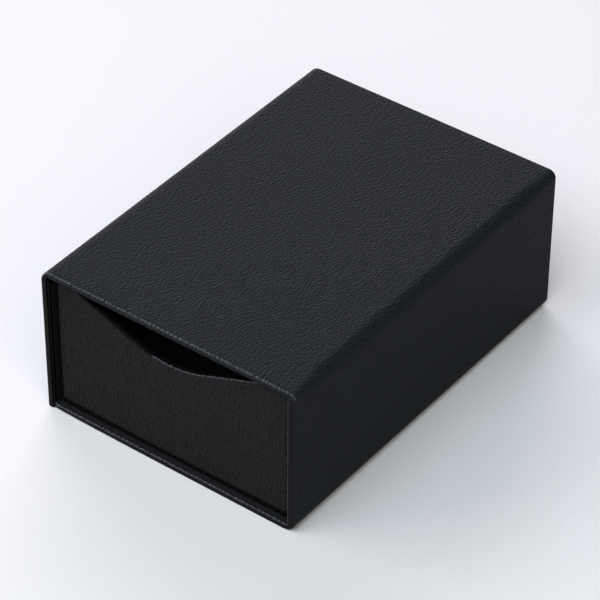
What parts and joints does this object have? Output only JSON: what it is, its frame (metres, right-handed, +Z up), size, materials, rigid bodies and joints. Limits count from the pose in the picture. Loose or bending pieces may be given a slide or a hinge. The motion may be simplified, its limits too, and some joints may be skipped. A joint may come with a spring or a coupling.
{
  "type": "sliding drawer gift box",
  "caption": "Rigid gift box wrapped in black leatherette: a sleeve open at both ends, and a tray that slides out of it like a drawer by a thumb notch in its front.",
  "frame": {"origin": "middle of the footprint, on the surface that the box stands on", "axes": "+Z up, the drawer's front and its thumb notch face -Y, +X to the right as seen from the front"},
  "size_m": [0.11, 0.155, 0.062],
  "materials": {
    "leatherette": "satin",
    "greyboard": "matte",
    "lining_paper": "matte",
    "suede_paper": "matte",
    "gummed_paper_tape": "matte"
  },
  "bodies": {
    "sleeve": {"sleeve_left_board": "greyboard", "sleeve_top_board": "greyboard", "sleeve_right_board": "greyboard", "sleeve_base_board": "greyboard", "sleeve_flap_board": "greyboard", "sleeve_cover": "leatherette", "sleeve_base_cover": "leatherette", "sleeve_flap_cover": "leatherette", "sleeve_lining": "lining_paper"},
    "drawer": {"drawer_front_board": "greyboard", "drawer_back_board": "greyboard", "drawer_left_board": "greyboard", "drawer_right_board": "greyboard", "drawer_base_board": "greyboard", "drawer_corner_stays": "gummed_paper_tape", "drawer_cover": "leatherette", "drawer_base_sheet": "lining_paper", "drawer_wall_lining": "lining_paper", "drawer_floor_card": "greyboard", "drawer_floor_suede": "suede_paper"}
  },
  "joints": [
    {"name": "drawer_slide", "type": "slide", "parent": "sleeve", "child": "drawer", "axis": [0, -1, 0], "range_m": [-0.155, 0.155]}
  ]
}
